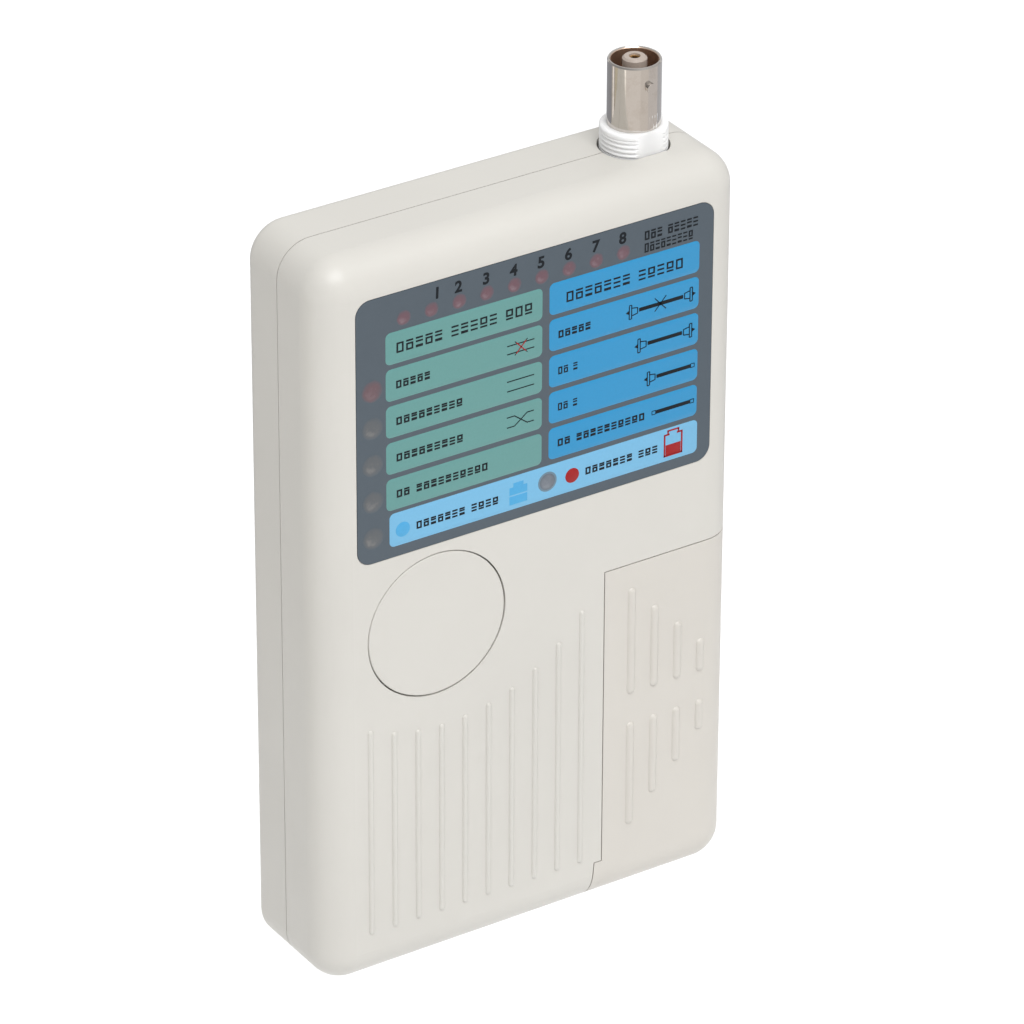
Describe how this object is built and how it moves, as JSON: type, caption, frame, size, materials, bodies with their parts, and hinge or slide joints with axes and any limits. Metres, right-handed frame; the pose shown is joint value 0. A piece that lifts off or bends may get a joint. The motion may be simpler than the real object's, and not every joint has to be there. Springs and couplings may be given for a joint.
{
  "type": "network cable tester",
  "caption": "Hand-held cable tester with an LED read-out panel, round test button, coaxial socket on top and a docked remote unit that slides off.",
  "frame": {"origin": "middle of the bottom of the tester's box, where its flat lower end stands", "axes": "+X to the right seen from the front, the front panel faces -Y, +Z along the tester's length towards the coaxial socket"},
  "size_m": [0.0874, 0.0244, 0.162],
  "materials": {
    "casing": "fine moulded satin",
    "remote_casing": "fine moulded satin",
    "panel_film": "printed polyester film, satin",
    "black_plastic": "moulded satin",
    "socket_white": "moulded, slightly glossy",
    "insulator": "turned, waxy",
    "nickel": "nickel plated, lightly worn",
    "shell_steel": "plated sheet",
    "screw_steel": "zinc plated",
    "tinned_leads": "tinned",
    "gold_contact": "gold plated",
    "board_laminate": "solder mask",
    "led_red": "diffused epoxy",
    "led_pale": "diffused epoxy",
    "battery_jacket": "plain shrink jacket",
    "capacitor_sleeve": "shrink sleeve",
    "wire_red": "insulated wire",
    "wire_black": "insulated wire",
    "ceramic_parts": "fired ceramic bodies"
  },
  "bodies": {
    "main_unit": {"front_shell": "casing", "back_shell": "casing", "overlay_film": "panel_film", "tact_switch": "black_plastic", "tact_terminals": "tinned_leads", "main_board": "board_laminate", "pin_leds": "led_red", "condition_leds": "led_pale", "battery_led": "led_pale", "controller_chip": "black_plastic", "logic_chips": "black_plastic", "chip_legs": "tinned_leads", "crystal": "shell_steel", "reservoir_capacitor": "capacitor_sleeve", "main_small_parts": "ceramic_parts", "coax_body": "socket_white", "coax_barrel": "nickel", "coax_insulator": "insulator", "coax_contact": "gold_contact", "coax_pins": "tinned_leads", "modular_jack": "black_plastic", "jack_contacts": "gold_contact", "usb_shell": "shell_steel", "usb_tongue": "socket_white", "usb_contacts": "gold_contact", "battery": "battery_jacket", "battery_terminals": "nickel", "battery_snap": "black_plastic", "lead_red": "wire_red", "lead_black": "wire_black", "case_screws": "screw_steel", "board_screws": "screw_steel"},
    "button": {"test_button": "casing"},
    "switch_plunger": {"tact_plunger": "black_plastic"},
    "door": {"battery_door": "casing"},
    "remote_unit": {"remote_front_shell": "remote_casing", "remote_back_shell": "remote_casing", "remote_board": "board_laminate", "remote_modular_jack": "black_plastic", "remote_jack_contacts": "gold_contact", "remote_usb_shell": "shell_steel", "remote_usb_core": "socket_white", "remote_usb_contacts": "gold_contact", "remote_coax_body": "socket_white", "remote_coax_barrel": "nickel", "remote_coax_insulator": "insulator", "remote_coax_contact": "gold_contact", "remote_coax_pins": "tinned_leads", "remote_small_parts": "ceramic_parts", "remote_case_screws": "screw_steel", "remote_board_screws": "screw_steel"}
  },
  "joints": [
    {"name": "button_press", "type": "slide", "parent": "main_unit", "child": "button", "axis": [0, 1, 0], "range_m": [0, 0.0003], "stiffness_N_per_m": 5000},
    {"name": "plunger_press", "type": "slide", "parent": "main_unit", "child": "switch_plunger", "axis": [0, 1, 0], "range_m": [0, 0.0003]},
    {"name": "door_slide", "type": "slide", "parent": "main_unit", "child": "door", "axis": [0, 0, -1], "range_m": [0, 0.062]},
    {"name": "remote_slide", "type": "slide", "parent": "main_unit", "child": "remote_unit", "axis": [0, 0, -1], "range_m": [0, 0.092]}
  ],
  "couplings": [
    {"joint": "plunger_press", "follows": "button_press", "ratio": 1}
  ]
}
